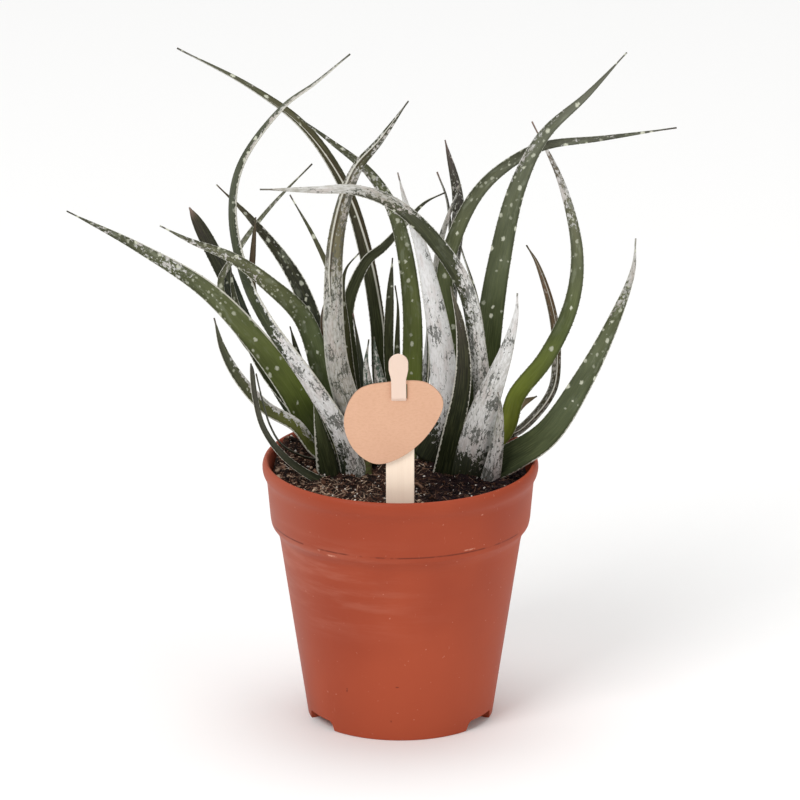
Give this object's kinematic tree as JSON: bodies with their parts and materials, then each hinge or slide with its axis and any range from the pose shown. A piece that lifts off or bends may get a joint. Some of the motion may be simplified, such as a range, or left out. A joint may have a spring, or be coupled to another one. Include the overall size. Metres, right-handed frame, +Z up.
{
  "type": "potted aloe",
  "caption": "Potted aloe: a clump of long, narrow, channelled, silver-flecked leaves in a round nursery pot of soil, with a blank tag on a wooden label stick.",
  "frame": {"origin": "middle of the whole part's box in plan, on the plane that the pot stands on", "axes": "+Z up, +X to the right and -Y towards the viewer, as the picture shows it"},
  "size_m": [0.2314, 0.1206, 0.2593],
  "materials": {
    "pot": "satin terracotta plastic",
    "soil": "damp peat with bark fibres",
    "label_stick": "raw pale wood",
    "label_tag": "plain kraft board",
    "stem": "waxy",
    "leaf": "waxy green face with white dots, silver back with dark flecks",
    "dry_leaf": "dry and dull"
  },
  "bodies": {
    "root": {"pot": "pot", "soil": "soil", "label_stick": "label_stick", "label_tag": "label_tag", "left_stem": "stem", "front_stem": "stem", "middle_stem": "stem", "right_stem": "stem", "left_leaf_short": "leaf", "front_leaf_tall": "leaf", "right_leaf_young": "leaf", "right_leaf_silver": "leaf", "right_leaf_low": "leaf", "left_leaf_broad": "leaf", "right_leaf_long_arch": "leaf", "right_leaf_margin": "leaf", "middle_leaf_white": "leaf", "front_leaf_silver": "leaf", "left_leaf_dotted": "leaf", "right_leaf_tall": "leaf", "middle_leaf_green": "leaf", "middle_leaf_arched": "leaf", "right_leaf_curved": "leaf", "middle_leaf_long": "leaf", "left_leaf_low": "leaf", "left_leaf_over_rim": "leaf", "left_leaf_dark": "leaf", "left_leaf_shade": "leaf", "left_leaf_hooked": "leaf", "left_leaf_brown_tip": "dry_leaf", "left_leaf_back": "dry_leaf", "left_leaf_thin": "leaf", "left_leaf_hidden": "leaf", "left_leaf_brown": "dry_leaf", "front_leaf_fine": "leaf", "front_leaf_olive": "leaf", "front_leaf_dark": "leaf", "front_leaf_slip": "leaf", "middle_leaf_flecked": "leaf", "middle_leaf_stub": "leaf", "middle_leaf_shade": "leaf", "middle_leaf_slip": "leaf", "middle_leaf_edge": "leaf", "middle_leaf_tip": "leaf", "right_leaf_dry": "dry_leaf", "right_leaf_withered": "dry_leaf", "right_leaf_behind": "leaf", "right_leaf_fine": "leaf", "right_leaf_slip": "leaf", "back_leaf_left": "leaf", "back_leaf_middle": "leaf", "back_leaf_right": "leaf", "back_leaf_low": "leaf"}
  },
  "joints": []
}
